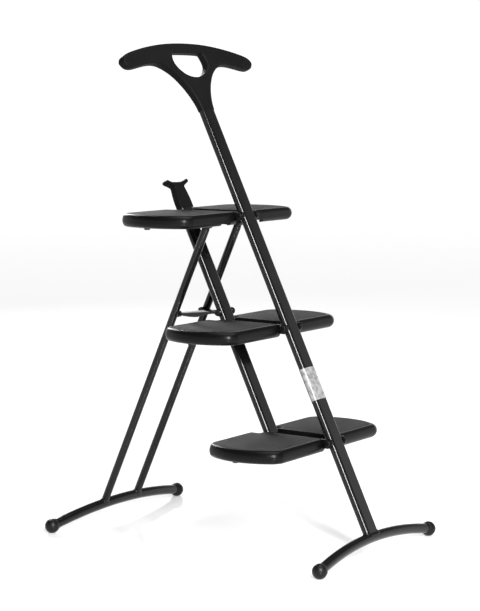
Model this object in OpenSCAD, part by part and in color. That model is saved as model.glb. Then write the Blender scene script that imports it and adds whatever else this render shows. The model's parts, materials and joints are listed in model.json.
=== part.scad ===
// Folding three-step library ladder: one central mast, a parallel lift bar that works the steps,
// a pair of rear legs under the top step and a spreader link that holds them open.
// X runs across the ladder, Y to its rear and Z up, with the floor at Z = 0.

/* [Stance] */
// Distance between the front and the rear foot centres
stance_y = 693; // [660:1:720]
// Lean of the mast from upright
mast_lean = 25.66; // [25:0.01:26.5]
// Lean of the rear legs from upright
leg_lean = 24.3; // [23.8:0.1:24.8]
// Half of the distance between the front foot caps
front_half_span = 222; // [200:1:240]
// Half of the distance between the rear foot caps
rear_half_span = 229; // [200:1:240]

/* [Steps] */
// Height of the first step
first_step = 240; // [238:1:242]
// Height from one step to the next
riser = 235; // [234:1:236]
// Thickness of a step from its tread to its lower edge
step_thick = 28; // [26:0.5:30]
// Depth of the tread
step_depth = 165; // [162:1:168]
// Distance from the mast's centreline back to the front of the tread
step_setback = 14.3; // [13:0.1:16]
// Radius of the bowed ends of a step
end_arc_r = 146; // [144:1:148]
// Distance from the middle to the centre of that radius
end_arc_x = 83; // [80:0.5:84]
// Half of the slot that the mast and the lift bar pass through
slot_half = 23.2; // [23.1:0.1:24]
// Half of the wider notch behind the lift bar
notch_half = 47; // [44:1:48]
// Thickness of the step's walls
step_wall = 3; // [2.5:0.5:4]
// Thickness of the non-slip tread
tread_thick = 1.5; // [1:0.5:1.5]

/* [Tubes] */
// Width of the flat-oval mast
mast_w = 44; // [43:0.5:44]
// Width of the flat-oval lift bar
bar_w = 41; // [40:0.5:41]
// Depth of the mast and of the lift bar
oval_d = 17; // [16:0.5:17]
// Distance from the mast back to the lift bar, level with the floor
bar_gap = 160.7; // [160:0.1:161]
// Radius of the foot tubes
foot_tube_r = 11; // [10:0.5:12]
// Radius of the rear leg tubes
leg_r = 8.5; // [8:0.5:8.5]
// Half of the distance between the rear legs
leg_x = 59.5; // [58:0.5:62]
// Wall thickness of every tube
tube_wall = 1.5; // [1.2:0.1:2]
// Radius of the ball-shaped foot caps
cap_r = 16; // [15:0.5:18]

/* [Pivots] */
// Depth of a step's front pivot under its tread
front_pivot_drop = 8; // [8:0.5:9]
// Depth of a step's rear pivot under its tread
rear_pivot_drop = 20; // [19:0.5:20]
// Depth of the rear legs' pivot under the top tread
leg_pivot_drop = 28; // [28:0.5:30]
// Height of the spreader link's pivot in the lift bar
link_front_z = 489; // [488:0.5:490]
// Height of the spreader link's end between the rear legs
link_rear_z = 482; // [480:0.5:484]
// Radius of the step pivot pins
pin_r = 5; // [4.5:0.5:5]
// Radius of the smaller pins in the legs and in the link
small_pin_r = 4; // [3.5:0.5:4]

/* [Handle] */
// Distance along the mast to the handle's joint
handle_joint = 1008; // [1000:1:1016]
// Height of the handle above its joint
handle_rise = 158; // [150:1:165]
// Distance along the lift bar to the release grip's joint
grip_joint = 778; // [777:1:782]
// Thickness of the handle
handle_thick = 20; // [18:1:22]

/* [Hidden] */
$fn = 64;

paint = "#1b1b1d";
moulded = "#232326";
rubbery = "#141415";
tread_grey = "#3b3b3e";
steel = "#3a3b3d";
nylon = "#2c2c2d";
paper = "#dededb";

// Stance
cap_z = 15.3;                 // height of the ball centres, so each ball has a small flat
front_y = -stance_y / 2;
rear_y = stance_y / 2;
front_arch_rise = 26;
rear_arch_rise = 24;

// Steps, lowest first
tread_z = [first_step, first_step + riser, first_step + 2 * riser];
low = 0;
mid = 1;
top = 2;
skirt_out = 10;               // the skirt stands this far in front of the tread
skirt_back = 4;               // and this far behind it, clear of the folding legs
step_corner_r = 32;
rim_w = 13;                   // from the skirt's face in to the tread mat
plate_thick = 4;
rib_thick = 2;
rib_drop = 12;
ear_r = 11;
ear_out = 31;                 // outer face of the ears that carry the front pin
boss_r = 8;
boss_out = 62;                // how far the rear pin's boss reaches from the middle
tread_gap = 0.15;

// Along the mast, from the foot's chord
function mast_y(z) = front_y + (z - cap_z) * tan(mast_lean);
function bar_y(z) = mast_y(z) + bar_gap;
function along(z) = (z - cap_z) / cos(mast_lean);
function leg_y(z) = rear_y - (z - cap_z) * tan(leg_lean);
function along_leg(z) = (z - cap_z) / cos(leg_lean);
function front_pivot(i) = [0, mast_y(tread_z[i] - front_pivot_drop), tread_z[i] - front_pivot_drop];
function rear_pivot(i) = [0, bar_y(tread_z[i] - rear_pivot_drop), tread_z[i] - rear_pivot_drop];

// In a step's own frame, whose origin is its front pivot
plate_top = front_pivot_drop;
plate_low = plate_top - plate_thick;
skirt_low = plate_top - step_thick;
tread_front = step_setback + front_pivot_drop * tan(mast_lean);
rear_pivot_at = rear_pivot(top) - front_pivot(top);
notch_y = rear_pivot_at[1] + boss_r;
leg_pivot = [0, leg_y(tread_z[top] - leg_pivot_drop), tread_z[top] - leg_pivot_drop];
leg_pivot_at = leg_pivot - front_pivot(top);

// Running parts
run_gap = 0.05;
bush_r = 6.5;
washer_r = 9;
side_gap = 0.05;
hinge_side = leg_r + 0.8;     // from a leg's centre to the inner face of its bracket
hinge_plate = 2.5;
hinge_r = 7.5;
hinge_base_l = 26;
hinge_screw_y = 9;
hinge_screw_r = 1.6;

// Spreader link
link_front = [0, bar_y(link_front_z), link_front_z];
link_rear = [0, leg_y(link_rear_z), link_rear_z];
link_len = norm(link_rear - link_front);
link_tilt = atan2(link_rear[2] - link_front[2], link_rear[1] - link_front[1]);
link_thick = 6;
link_ear_in = bar_w / 2 + 0.7;
link_ear_out = 27;
link_tip_x = leg_x - leg_r - 0.6;
link_web_start = 32;          // keeps the web clear of the bar when folded
link_ear_r = 8;
link_tip_r = 7;

// Tube ends
bar_low_end = 216.5;
tenon_l = 45;
handle_neck_half = 24;
neck_half_thick = 9;           // the neck is thinner, so that the release grip passes behind it
neck_top = 51;                // above the handle's joint
label_low = 335;
label_high = 407;
label_thick = 0.4;
screw_r = 2.2;
screw_head_r = 4.5;
screw_in = 4;                 // a tube screw goes this far past the tube's middle
screw_head_seat = 6.4;        // from the tube's middle out to the underside of the screw's head
screw_back = 18;              // from the mast's end to the handle's screw
grip_screw_back = 11;         // from the lift bar's end to the grip's screw
grip_tenon_l = 21;            // the grip's tenon stops short of the top pivot's bush

// ---------- Frames of reference ----------
module in_mast_frame() translate([0, front_y, cap_z]) rotate([-mast_lean, 0, 0]) children();
module in_bar_frame() translate([0, front_y + bar_gap, cap_z]) rotate([-mast_lean, 0, 0]) children();
module in_leg_frame() translate([0, rear_y, cap_z]) rotate([leg_lean, 0, 0]) children();
module in_step_frame(i) translate(front_pivot(i)) children();
module on_side(side) mirror([side < 0 ? 1 : 0, 0, 0]) children();

// ---------- Shared shapes ----------
// A rod along X between two distances from the middle
module rod_x(r, from, to) translate([from, 0, 0]) rotate([0, 90, 0]) cylinder(r = r, h = to - from);

// A flat oval of width w and depth d
module oval(w, d) {
    square([w - d, d], center = true);
    for (side = [-1, 1]) translate([side * (w - d) / 2, 0]) circle(d = d);
}

module oval_tube(w, from, to) {
    translate([0, 0, from]) linear_extrude(height = to - from) difference() {
        oval(w, oval_d);
        oval(w - 2 * tube_wall, oval_d - 2 * tube_wall);
    }
}

// A bowed foot tube, as a solid of radius r, in the plane of X and Z
module foot_arch(half_span, rise, r, inner = 0) {
    bow_r = (half_span * half_span + rise * rise) / (2 * rise);
    bow_angle = asin(half_span / bow_r);
    rotate([90, 0, 0]) translate([0, rise - bow_r, 0]) rotate([0, 0, 90 - bow_angle])
        rotate_extrude(angle = 2 * bow_angle, $fn = 180) translate([bow_r, 0]) difference() {
            circle(r = r);
            if (inner > 0) circle(r = inner);
        }
}

module below_floor() translate([-400, -400, -40]) cube([800, 800, 40]);

// ---------- Front frame ----------
module front_arch_solid(inner = 0) in_mast_frame()
    foot_arch(front_half_span, front_arch_rise, foot_tube_r, inner);

module front_foot_tube() color(paint) front_arch_solid(foot_tube_r - tube_wall);

module front_foot_cap(side) color(rubbery) difference() {
    translate([side * front_half_span, front_y, cap_z]) sphere(r = cap_r);
    front_arch_solid();
    below_floor();
}
module front_foot_cap_left() front_foot_cap(-1);
module front_foot_cap_right() front_foot_cap(1);

module front_mast() color(paint) difference() {
    in_mast_frame() difference() {
        oval_tube(mast_w, front_arch_rise, handle_joint);
        for (z = tread_z) translate([0, 0, along(z - front_pivot_drop)]) rod_x(bush_r, -30, 30);
        translate([0, 0, handle_joint - screw_back]) rotate([-90, 0, 0])
            cylinder(r = screw_head_r, h = oval_d);
    }
    front_arch_solid();
}

module mast_pivot_bushes() color(steel) in_mast_frame() for (z = tread_z)
    translate([0, 0, along(z - front_pivot_drop)]) difference() {
        rod_x(bush_r, -mast_w / 2, mast_w / 2);
        rod_x(pin_r + run_gap, -30, 30);
    }

// The handle's outline above its joint: a bowed crossbar that flows into a short neck
function bow(x) = handle_rise - 28 * pow(x / 220, 2);
module handle_outline() {
    arm = 41;
    crossbar = [for (x = [-222 : 12 : 222]) [x, bow(x)]];
    underside = [for (x = [222 : -16 : 126]) [x, bow(x) - arm]];
    flare = [[100, 101], [79, 89], [64, 76], [50, 58], [38, 34], [28, 10], [handle_neck_half, 0]];
    right = concat(underside, flare);
    left = [for (i = [len(right) - 1 : -1 : 0]) [-right[i][0], right[i][1]]];
    end_r = arm / 2 - 1;
    offset(r = -6) offset(delta = 6) difference() {
        union() {
            polygon(concat(crossbar, right, left));
            for (side = [-1, 1]) translate([side * 222, bow(222) - arm / 2]) circle(r = end_r);
        }
        handle_window();
    }
}

// The finger hole in the middle of the handle
module handle_window() offset(r = 5) offset(delta = -5)
    polygon([[-62, 135], [62, 135], [64, 120], [58, 105], [46, 89], [24, 77], [0, 74],
        [-24, 77], [-46, 89], [-58, 105], [-64, 120]]);

module top_handle() color(moulded) in_mast_frame() difference() {
    union() {
        translate([0, 0, handle_joint]) rotate([90, 0, 0])
            linear_extrude(height = handle_thick, center = true) handle_outline();
        translate([0, 0, handle_joint - tenon_l]) linear_extrude(height = tenon_l + 1)
            oval(mast_w - 2 * tube_wall - 0.2, oval_d - 2 * tube_wall - 0.2);
    }
    for (front = [neck_half_thick, -neck_half_thick - 20]) translate([-60, front, handle_joint - 1])
        cube([120, 20, neck_top + 1]);
    translate([0, 0, handle_joint - screw_back]) rotate([-90, 0, 0]) {
        translate([0, 0, -screw_in]) cylinder(r = screw_r, h = 20);
        translate([0, 0, screw_head_seat]) cylinder(r = screw_head_r, h = 5);
    }
}

module tube_screw() rotate([-90, 0, 0]) {
    translate([0, 0, -screw_in]) cylinder(r = screw_r, h = screw_in + screw_head_seat + 0.6);
    translate([0, 0, screw_head_seat]) cylinder(r = screw_head_r, h = 1.9);
}
module handle_screw() color(steel) in_mast_frame()
    translate([0, 0, handle_joint - screw_back]) tube_screw();

module blank_label() color(paper) in_mast_frame()
    translate([0, 0, label_low]) linear_extrude(height = label_high - label_low) difference() {
        oval(mast_w + 2 * label_thick, oval_d + 2 * label_thick);
        oval(mast_w, oval_d);
    }

// ---------- Steps ----------
// Plan of the right half of a step, drawn in by the inset, in the step's own frame
module step_plan(inset) translate([0, tread_front]) difference() {
    intersection() {
        offset(r = step_corner_r) offset(delta = -step_corner_r - inset) union()
            for (side = [-1, 1]) intersection() {
                translate([-240, -skirt_out]) square([480, step_depth + skirt_out + skirt_back]);
                translate([side * end_arc_x, step_depth / 2]) circle(r = end_arc_r, $fn = 96);
            }
        translate([slot_half + inset, -20]) square([300, 240]);
    }
    translate([0, notch_y - tread_front - inset]) square([notch_half + inset, 60]);
}

bumper_x = 209;
bumper_y = 111;
bumper_r = 7;
bumper_drop = 4;
bumper_seat_half = 11;
cross_ribs = [88, 128, 168];
long_ribs = [100, 140];
hinge_relief = [45, 33, 6];   // start, length and height of the skirt's relief for a folded leg

module step_ribs() {
    for (x = cross_ribs) translate([x, 0, plate_low - rib_drop]) cube([rib_thick, 220, rib_drop + 1]);
    for (y = long_ribs) translate([0, y, plate_low - rib_drop]) cube([240, rib_thick, rib_drop + 1]);
}

module step_half(side, i) color(moulded) in_step_frame(i) on_side(side) difference() {
    union() {
        difference() {
            translate([0, 0, skirt_low]) linear_extrude(height = step_thick) step_plan(0);
            translate([0, 0, skirt_low - 1]) linear_extrude(height = step_thick - plate_thick + 1)
                step_plan(step_wall);
            translate([0, 0, plate_top - tread_thick]) linear_extrude(height = 5)
                step_plan(rim_w);
        }
        intersection() {
            translate([0, 0, skirt_low]) linear_extrude(height = step_thick - plate_thick + 0.5)
                step_plan(step_wall - 0.5);
            union() {
                step_ribs();
                // seat of the rubber bumper
                translate([bumper_x - 9, bumper_y - bumper_seat_half, skirt_low])
                    cube([40, 2 * bumper_seat_half, step_thick]);
                // boss of the rear pin and the rib that carries it
                translate(rear_pivot_at) rod_x(boss_r, 0, boss_out);
                translate([0, rear_pivot_at[1] - rib_thick / 2, rear_pivot_at[2]])
                    cube([boss_out, rib_thick, step_thick]);
            }
        }
        // ear that reaches forward beside the mast
        intersection() {
            union() {
                rod_x(ear_r, slot_half, ear_out);
                translate([slot_half, 0, -ear_r]) cube([ear_out - slot_half, tread_front, 2 * ear_r]);
            }
            translate([0, -20, -20]) cube([60, 60, 20 + plate_top]);
        }
    }
    rod_x(pin_r, 10, 60);
    translate(rear_pivot_at) rod_x(pin_r, 10, boss_out + 1);
    if (i == top) {
        // relief in the skirt for the folded leg, and the bracket's pilot holes
        translate([hinge_relief[0], tread_front - skirt_out - 5, skirt_low - 1])
            cube([hinge_relief[1], skirt_out + 9, hinge_relief[2] + 1]);
        for (end = [-1, 1]) translate([leg_x, leg_pivot_at[1] + end * hinge_screw_y, 0])
            cylinder(r = hinge_screw_r, h = plate_low + 2);
    }
}
module step_top_left() step_half(-1, top);
module step_top_right() step_half(1, top);
module step_mid_left() step_half(-1, mid);
module step_mid_right() step_half(1, mid);
module step_low_left() step_half(-1, low);
module step_low_right() step_half(1, low);

module tread(side, i) color(tread_grey) in_step_frame(i) on_side(side)
    translate([0, 0, plate_top - tread_thick]) linear_extrude(height = tread_thick)
        step_plan(rim_w + tread_gap);
module tread_top_left() tread(-1, top);
module tread_top_right() tread(1, top);
module tread_mid_left() tread(-1, mid);
module tread_mid_right() tread(1, mid);
module tread_low_left() tread(-1, low);
module tread_low_right() tread(1, low);

module bumpers(i) color(rubbery) in_step_frame(i) for (side = [-1, 1]) on_side(side)
    translate([bumper_x, bumper_y, skirt_low - bumper_drop]) cylinder(r = bumper_r, h = bumper_drop);
module bumpers_top() bumpers(top);
module bumpers_mid() bumpers(mid);
module bumpers_low() bumpers(low);

module front_pin(i) color(steel) in_step_frame(i) {
    rod_x(pin_r, -ear_out - 1, ear_out + 1);
    for (side = [-1, 1]) on_side(side) rod_x(boss_r, ear_out, ear_out + 3);
}
module front_pin_top() front_pin(top);
module front_pin_mid() front_pin(mid);
module front_pin_low() front_pin(low);

module rear_pin(i) color(steel) translate(rear_pivot(i)) rod_x(pin_r, -boss_out, boss_out);
module rear_pin_top() rear_pin(top);
module rear_pin_mid() rear_pin(mid);
module rear_pin_low() rear_pin(low);

module washer(from) difference() {
    rod_x(washer_r, from + side_gap, slot_half - side_gap);
    rod_x(pin_r, from - 1, slot_half + 1);
}
module washers(i) color(nylon) for (side = [-1, 1]) on_side(side) {
    translate(front_pivot(i)) washer(mast_w / 2);
    translate(rear_pivot(i)) washer(bar_w / 2);
}
module washers_top() washers(top);
module washers_mid() washers(mid);
module washers_low() washers(low);

// ---------- Hinge of the rear legs under the top step ----------
module leg_hinge_brackets() color(steel) in_step_frame(top) for (side = [-1, 1]) on_side(side)
    translate([leg_x, leg_pivot_at[1], 0]) difference() {
        union() {
            translate([-hinge_side - hinge_plate, -hinge_base_l / 2, plate_low - hinge_plate])
                cube([2 * (hinge_side + hinge_plate), hinge_base_l, hinge_plate]);
            for (from = [-hinge_side - hinge_plate, hinge_side]) {
                translate([0, 0, leg_pivot_at[2]]) rod_x(hinge_r, from, from + hinge_plate);
                translate([from, -hinge_r, leg_pivot_at[2]])
                    cube([hinge_plate, 2 * hinge_r, plate_low - leg_pivot_at[2]]);
            }
        }
        translate([0, 0, leg_pivot_at[2]]) rod_x(small_pin_r, -20, 20);
        for (end = [-1, 1]) translate([0, end * hinge_screw_y, -5]) cylinder(r = hinge_screw_r, h = 20);
    }

module leg_hinge_screws() color(steel) in_step_frame(top) for (side = [-1, 1], end = [-1, 1])
    translate([side * leg_x, leg_pivot_at[1] + end * hinge_screw_y, plate_low - hinge_plate]) {
        cylinder(r = hinge_screw_r, h = hinge_plate + 1.8);
        translate([0, 0, -1.4]) cylinder(r = 3, h = 1.4);
    }

module leg_hinge_pins() color(steel) translate(leg_pivot) for (side = [-1, 1]) on_side(side)
    translate([leg_x, 0, 0]) {
        rod_x(small_pin_r, -hinge_side - hinge_plate - 1, hinge_side + hinge_plate + 1);
        for (from = [-hinge_side - hinge_plate - 1.5, hinge_side + hinge_plate])
            rod_x(6, from, from + 1.5);
    }

// ---------- Lift bar ----------
module lift_bar() color(paint) in_bar_frame() difference() {
    oval_tube(bar_w, bar_low_end, grip_joint);
    for (z = tread_z) translate([0, 0, along(z - rear_pivot_drop)]) rod_x(bush_r, -30, 30);
    translate([0, 0, along(link_front_z)]) rod_x(small_pin_r, -30, 30);
    translate([0, 0, grip_joint - grip_screw_back]) rotate([-90, 0, 0])
        cylinder(r = screw_head_r, h = oval_d);
}

module bar_pivot_bushes() color(steel) in_bar_frame() for (z = tread_z)
    translate([0, 0, along(z - rear_pivot_drop)]) difference() {
        rod_x(bush_r, -bar_w / 2, bar_w / 2);
        rod_x(pin_r + run_gap, -30, 30);
    }

module bar_end_plug() color(moulded) in_bar_frame() translate([0, 0, bar_low_end - 2]) {
    linear_extrude(height = 2) oval(bar_w, oval_d);
    linear_extrude(height = 5) oval(bar_w - 2 * tube_wall - 0.2, oval_d - 2 * tube_wall - 0.2);
}

// The release grip: a waisted stalk under two upturned wings
module grip_outline() offset(r = 2.5) offset(delta = -2.5) polygon([[-25, 0], [25, 0], [25, 24],
    [21, 36], [21, 46], [27, 52], [37, 54], [43, 57], [43, 62], [36, 62], [20, 60], [0, 59],
    [-20, 60], [-36, 62], [-43, 62], [-43, 57], [-37, 54], [-27, 52], [-21, 46], [-21, 36], [-25, 24]]);

module release_grip() color(moulded) in_bar_frame() difference() {
    union() {
        translate([0, 0, grip_joint]) rotate([90, 0, 0])
            linear_extrude(height = oval_d + 1, center = true) grip_outline();
        translate([0, 0, grip_joint - grip_tenon_l]) linear_extrude(height = grip_tenon_l + 1)
            oval(bar_w - 2 * tube_wall - 0.2, oval_d - 2 * tube_wall - 0.2);
    }
    translate([0, 0, grip_joint - grip_screw_back]) rotate([-90, 0, 0]) {
        translate([0, 0, -screw_in]) cylinder(r = screw_r, h = 20);
        translate([0, 0, screw_head_seat]) cylinder(r = screw_head_r, h = 5);
    }
}
module grip_screw() color(steel) in_bar_frame()
    translate([0, 0, grip_joint - grip_screw_back]) tube_screw();

module link_pin() color(steel) translate(link_front) {
    rod_x(small_pin_r, -link_ear_out - 1, link_ear_out + 1);
    for (side = [-1, 1]) on_side(side) rod_x(7, link_ear_out + 0.2, link_ear_out + 2.8);
}

// ---------- Spreader link ----------
module link_outline() difference() {
    polygon([[-link_ear_out, 0], [-link_ear_in, 0], [-link_ear_in, link_web_start],
        [link_ear_in, link_web_start], [link_ear_in, 0], [link_ear_out, 0], [link_ear_out, 14],
        [link_tip_x, link_len - 20], [link_tip_x, link_len], [-link_tip_x, link_len],
        [-link_tip_x, link_len - 20], [-link_ear_out, 14]]);
    translate([0, link_len + 26]) circle(r = 42);
}

module spreader_link() color(moulded) translate(link_front) rotate([link_tilt, 0, 0]) difference() {
    union() {
        linear_extrude(height = link_thick, center = true) link_outline();
        for (side = [-1, 1]) on_side(side) {
            rod_x(link_ear_r, link_ear_in, link_ear_out);
            translate([0, link_len, 0]) rod_x(link_tip_r, link_tip_x - 12, link_tip_x);
        }
    }
    rod_x(small_pin_r + run_gap, -40, 40);
    for (side = [-1, 1]) on_side(side) translate([0, link_len, 0])
        rod_x(small_pin_r + run_gap, link_tip_x - 9, link_tip_x + 1);
}

// ---------- Rear frame ----------
module rear_arch_solid(inner = 0) in_leg_frame()
    foot_arch(rear_half_span, rear_arch_rise, foot_tube_r, inner);

module rear_foot_tube() color(paint) rear_arch_solid(foot_tube_r - tube_wall);

module rear_foot_cap(side) color(rubbery) difference() {
    translate([side * rear_half_span, rear_y, cap_z]) sphere(r = cap_r);
    rear_arch_solid();
    below_floor();
}
module rear_foot_cap_left() rear_foot_cap(-1);
module rear_foot_cap_right() rear_foot_cap(1);

eye_neck = 10;
leg_len = along_leg(leg_pivot[2]);

module rear_leg(side) color(paint) difference() {
    in_leg_frame() translate([side * leg_x, 0, 0]) difference() {
        translate([0, 0, rear_arch_rise - 2])
            cylinder(r = leg_r, h = leg_len - eye_neck - rear_arch_rise + 2);
        translate([0, 0, -1]) cylinder(r = leg_r - tube_wall, h = leg_len);
        translate([0, 0, along_leg(link_rear_z)]) rod_x(small_pin_r, -20, 20);
    }
    rear_arch_solid();
}
module rear_leg_left() rear_leg(-1);
module rear_leg_right() rear_leg(1);

module leg_eyes() color(steel) in_leg_frame() for (side = [-1, 1])
    translate([side * leg_x, 0, leg_len]) difference() {
        union() {
            rod_x(leg_r, -leg_r, leg_r);
            translate([0, 0, -eye_neck]) cylinder(r = leg_r - 0.6, h = eye_neck);
            translate([0, 0, -eye_neck - 20]) cylinder(r = leg_r - tube_wall, h = 21);
        }
        rod_x(small_pin_r + run_gap, -20, 20);
    }

module link_bolts() color(steel) in_leg_frame() translate([0, 0, along_leg(link_rear_z)])
    for (side = [-1, 1]) on_side(side) {
        rod_x(small_pin_r, leg_x - leg_r, leg_x + leg_r + 1);
        rod_x(6.5, leg_x + leg_r, leg_x + leg_r + 3);
    }

// ---------- What is drawn ----------
front_mast();
front_foot_tube();
front_foot_cap_left();
front_foot_cap_right();
mast_pivot_bushes();
top_handle();
handle_screw();
blank_label();
step_top_left();
step_top_right();
tread_top_left();
tread_top_right();
bumpers_top();
front_pin_top();
rear_pin_top();
washers_top();
leg_hinge_brackets();
leg_hinge_screws();
leg_hinge_pins();
step_mid_left();
step_mid_right();
tread_mid_left();
tread_mid_right();
bumpers_mid();
front_pin_mid();
rear_pin_mid();
washers_mid();
step_low_left();
step_low_right();
tread_low_left();
tread_low_right();
bumpers_low();
front_pin_low();
rear_pin_low();
washers_low();
lift_bar();
bar_pivot_bushes();
bar_end_plug();
release_grip();
grip_screw();
link_pin();
spreader_link();
rear_leg_left();
rear_leg_right();
rear_foot_tube();
rear_foot_cap_left();
rear_foot_cap_right();
leg_eyes();
link_bolts();
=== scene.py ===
import json
import math

import bmesh
import bpy
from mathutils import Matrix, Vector


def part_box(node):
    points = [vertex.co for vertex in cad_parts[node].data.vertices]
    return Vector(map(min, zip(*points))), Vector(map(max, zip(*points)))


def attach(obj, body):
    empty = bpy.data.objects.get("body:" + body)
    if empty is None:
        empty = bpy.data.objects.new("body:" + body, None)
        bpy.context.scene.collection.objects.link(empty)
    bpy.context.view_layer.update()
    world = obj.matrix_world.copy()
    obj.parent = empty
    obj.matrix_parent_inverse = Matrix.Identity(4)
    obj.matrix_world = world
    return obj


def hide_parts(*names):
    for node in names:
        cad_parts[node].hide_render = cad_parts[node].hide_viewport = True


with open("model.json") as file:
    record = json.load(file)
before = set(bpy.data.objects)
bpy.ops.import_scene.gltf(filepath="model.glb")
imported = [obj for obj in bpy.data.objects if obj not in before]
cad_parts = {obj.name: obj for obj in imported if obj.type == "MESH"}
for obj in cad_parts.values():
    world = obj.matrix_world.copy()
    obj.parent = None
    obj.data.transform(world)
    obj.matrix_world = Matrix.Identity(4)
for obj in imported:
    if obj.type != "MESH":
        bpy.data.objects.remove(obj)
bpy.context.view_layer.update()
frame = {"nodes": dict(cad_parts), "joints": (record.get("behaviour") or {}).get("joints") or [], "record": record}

print("frame loaded", len(frame["nodes"]), "nodes")

pivots = {joint["name"]: Vector(joint["pos_m"]) for joint in frame["joints"]}
stepBodies = {"low": "step_low", "mid": "step_mid", "top": "step_top"}
stepPivots = {"low": pivots["step_low_pivot"], "mid": pivots["step_mid_pivot"], "top": pivots["fold"]}
rise = stepPivots["top"] - stepPivots["low"]
mastLean = math.atan2(rise.y, rise.z)
rearFootLow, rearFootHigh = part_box("rear_foot_cap_left")
frontFootLow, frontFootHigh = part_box("front_foot_cap_left")
mastFootZ = 0.0153                                    # height of the foot balls' centres
mastFoot = Vector((0, (frontFootLow.y + frontFootHigh.y) / 2, mastFootZ))
rearFoot = Vector((0, (rearFootLow.y + rearFootHigh.y) / 2, mastFootZ))
legPivot = pivots["rear_leg_pivot"]
legLean = math.atan2(rearFoot.y - legPivot.y, legPivot.z - rearFoot.z)
barPivot = pivots["lift_bar_pivot"]
barFoot = Vector((0, barPivot.y - (barPivot.z - mastFootZ) * math.tan(mastLean), mastFootZ))
linkPivot = pivots["link_pivot"]
linkTipZ = 0.482                                      # height of the bolts that join the link to the legs
linkTip = Vector((0, rearFoot.y - (linkTipZ - mastFootZ) * math.tan(legLean), linkTipZ))
linkLength = (linkTip - linkPivot).length
linkTilt = math.atan2(linkTip.z - linkPivot.z, linkTip.y - linkPivot.y)


tiny, hair, speck = 1e-4, 1e-5, 1e-6                  # how near two places must be to count as one
creaseAngle = math.radians(50)                        # edges sharper than this are rounded


def deselectAll():
    if bpy.context.object and bpy.context.object.mode != "OBJECT":
        bpy.ops.object.mode_set(mode="OBJECT")
    bpy.ops.object.select_all(action="DESELECT")


def activate(piece):
    deselectAll()
    piece.select_set(True)
    bpy.context.view_layer.objects.active = piece


def openPiece(piece, kind="FACE"):                    # edit mode with nothing selected
    activate(piece)
    bpy.ops.object.mode_set(mode="EDIT")
    bpy.ops.mesh.select_mode(type=kind)
    bpy.ops.mesh.select_all(action="DESELECT")


def closePiece():
    bpy.ops.object.mode_set(mode="OBJECT")


def turnOutward():                                    # points every face of the open piece outward
    bpy.ops.mesh.select_all(action="SELECT")
    bpy.ops.mesh.normals_make_consistent(inside=False)


def pick(piece, kind, rule):                          # selects faces, edges or points by a rule
    bpy.ops.mesh.select_mode(type=kind)
    bpy.ops.mesh.select_all(action="DESELECT")
    shape = bmesh.from_edit_mesh(piece.data)
    shape.normal_update()
    group = {"FACE": shape.faces, "EDGE": shape.edges, "VERT": shape.verts}[kind]
    for item in group:
        if kind == "FACE":
            wanted = rule(item.calc_center_median(), item.normal)
        elif kind == "EDGE":
            wanted = rule(item.verts[0].co, item.verts[1].co)
        else:
            wanted = rule(item.co)
        if wanted:
            item.select_set(True)
    shape.select_flush(True)
    bmesh.update_edit_mesh(piece.data)


def extrudeBy(shift):
    bpy.ops.mesh.extrude_region_move(TRANSFORM_OT_translate={"value": shift})


def nameNew(name):                                    # the object that the last primitive made
    piece = bpy.context.object
    piece.name = name
    piece.data.name = name
    return piece


def addModifier(piece, name, kind, **settings):
    modifier = piece.modifiers.new(name, kind)
    for key, value in settings.items():
        setattr(modifier, key, value)
    return modifier


def applyModifiers(piece):
    activate(piece)
    for name in [modifier.name for modifier in piece.modifiers]:
        bpy.ops.object.modifier_apply(modifier=name)


def bakePlace(piece, location=(0, 0, 0), turn=None):   # puts a piece's place into its mesh
    activate(piece)
    piece.location = Vector(piece.location) + Vector(location)
    if turn:
        piece.rotation_euler = turn
    bpy.ops.object.transform_apply(location=True, rotation=True, scale=True)


def smoothShade(piece, degrees=32):
    activate(piece)
    bpy.ops.object.shade_smooth_by_angle(angle=math.radians(degrees))


def joinPieces(pieces, name):
    deselectAll()
    for piece in pieces:
        piece.select_set(True)
    bpy.context.view_layer.objects.active = pieces[0]
    bpy.ops.object.join()
    pieces[0].name = name
    pieces[0].data.name = name
    return pieces[0]


def copyPiece(piece, name, offset=(0, 0, 0), mirrored=False):
    twin = piece.copy()
    twin.data = piece.data.copy()
    twin.name = name
    twin.data.name = name
    bpy.context.scene.collection.objects.link(twin)
    if mirrored:
        twin.scale.x = -1
    bakePlace(twin, offset)
    if mirrored:
        openPiece(twin)
        turnOutward()
        closePiece()
    return twin


def finishPiece(piece, body, material, standsFor=()):
    piece.data.materials.clear()
    piece.data.materials.append(material)
    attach(piece, body)
    if standsFor:
        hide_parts(*standsFor)


def emptyMaterial(name):
    material = bpy.data.materials.new(name)
    material.use_nodes = True
    material.node_tree.nodes.clear()
    return material, material.node_tree.nodes, material.node_tree.links


def setStops(ramp, darkAt, dark, paleAt, pale):       # the two ends of a colour ramp
    for stop, at, colour in zip(ramp.elements, (darkAt, paleAt), (dark, pale)):
        stop.position = at
        stop.color = colour


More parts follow.
